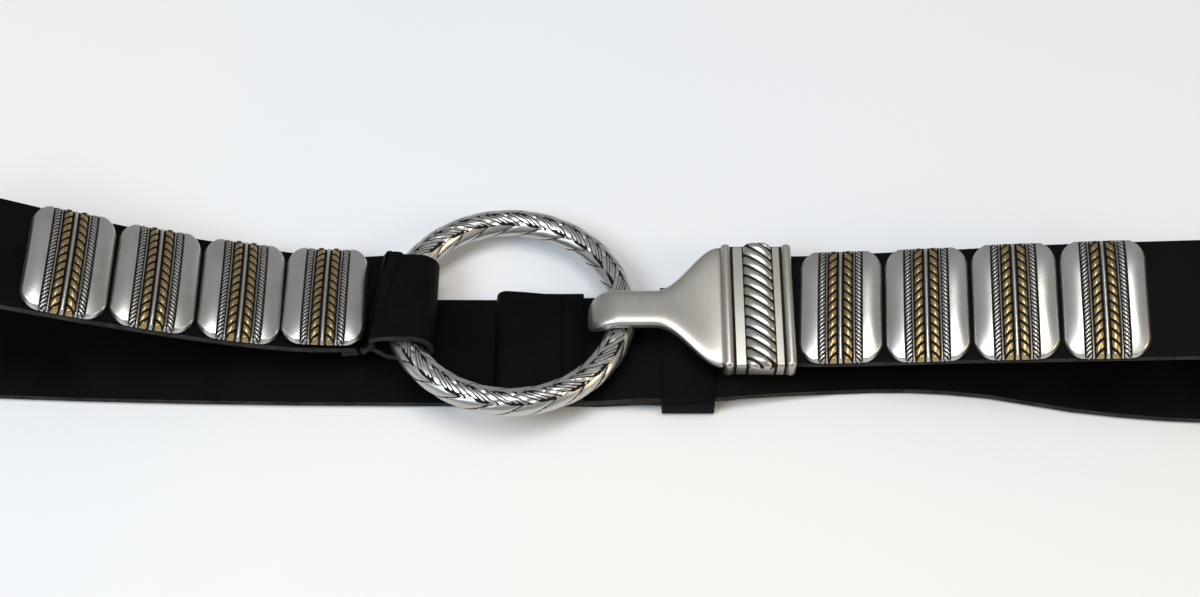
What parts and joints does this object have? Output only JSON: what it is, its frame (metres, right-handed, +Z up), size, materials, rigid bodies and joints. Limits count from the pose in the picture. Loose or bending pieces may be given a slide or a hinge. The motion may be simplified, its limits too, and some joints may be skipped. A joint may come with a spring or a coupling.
{
  "type": "medallion belt",
  "caption": "Fastened leather belt lying flat, with a braided cast ring, a hook buckle on a sleeve and rounded cast medallions along its front.",
  "frame": {"origin": "centre of the belt's footprint, on the surface it lies on", "axes": "+X along the belt towards the hook's side, -Y towards the viewer, +Z up"},
  "size_m": [0.4874, 0.081, 0.0595],
  "materials": {
    "leather": "smooth black leather, satin",
    "antique_silver": "cast antique silver, polished on the high places and darkened in the grooves",
    "pewter": "satin warm pewter, brushed across"
  },
  "bodies": {
    "root": {"left_strap": "leather", "right_strap": "leather", "keeper": "leather", "ring": "antique_silver", "hook_buckle": "pewter", "medallion_left_1": "antique_silver", "medallion_left_2": "antique_silver", "medallion_left_3": "antique_silver", "medallion_left_4": "antique_silver", "medallion_right_1": "antique_silver", "medallion_right_2": "antique_silver", "medallion_right_3": "antique_silver", "medallion_right_4": "antique_silver"}
  },
  "joints": []
}
